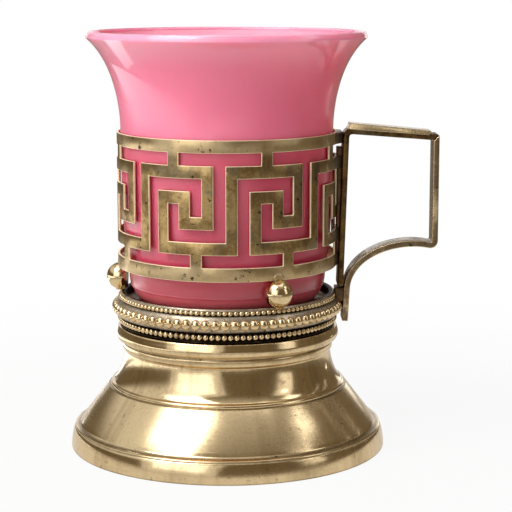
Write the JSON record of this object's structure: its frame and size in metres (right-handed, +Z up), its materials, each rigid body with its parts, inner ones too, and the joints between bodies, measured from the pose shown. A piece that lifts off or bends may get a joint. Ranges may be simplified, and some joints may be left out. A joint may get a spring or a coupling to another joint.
{
  "type": "cup with brass holder",
  "caption": "Flared opaline glass tumbler that lifts out of a brass holder with a pierced Greek key band, a beaded gallery, a spun foot and a strip handle with a thumb rest.",
  "frame": {"origin": "on the floor, in the middle of the object's overall footprint; the cup's axis is 8.35 mm from it towards -X", "axes": "+Z up along the cup's axis, +X from the cup towards its handle, +Y away from the viewer of the picture"},
  "size_m": [0.1194, 0.1026, 0.1344],
  "materials": {
    "opaline_glass": "glossy pink opaline glass that lets almost no light through",
    "aged_brass": "satin brass with brown tarnish",
    "bright_brass": "polished brass",
    "dark_brass": "dark tarnished brass",
    "steel": "plain steel"
  },
  "bodies": {
    "holder": {"key_band": "aged_brass", "gallery_dish": "dark_brass", "upper_bead_wire": "aged_brass", "main_bead_wire": "bright_brass", "lower_bead_wire": "aged_brass", "band_tab_1": "dark_brass", "band_tab_2": "dark_brass", "band_tab_3": "dark_brass", "tab_ball_1": "bright_brass", "tab_ball_2": "bright_brass", "tab_ball_3": "bright_brass", "spun_foot": "bright_brass", "centre_bolt": "steel", "foot_washer": "aged_brass", "foot_nut": "steel", "handle_back_strap": "dark_brass", "handle_grip_strap": "aged_brass", "strap_packing": "dark_brass", "thumb_rest": "aged_brass"},
    "glass": {"glass_tumbler": "opaline_glass"}
  },
  "joints": [
    {"name": "glass_lift", "type": "slide", "parent": "holder", "child": "glass", "axis": [0, 0, 1], "range_m": [0, 0.065]}
  ]
}
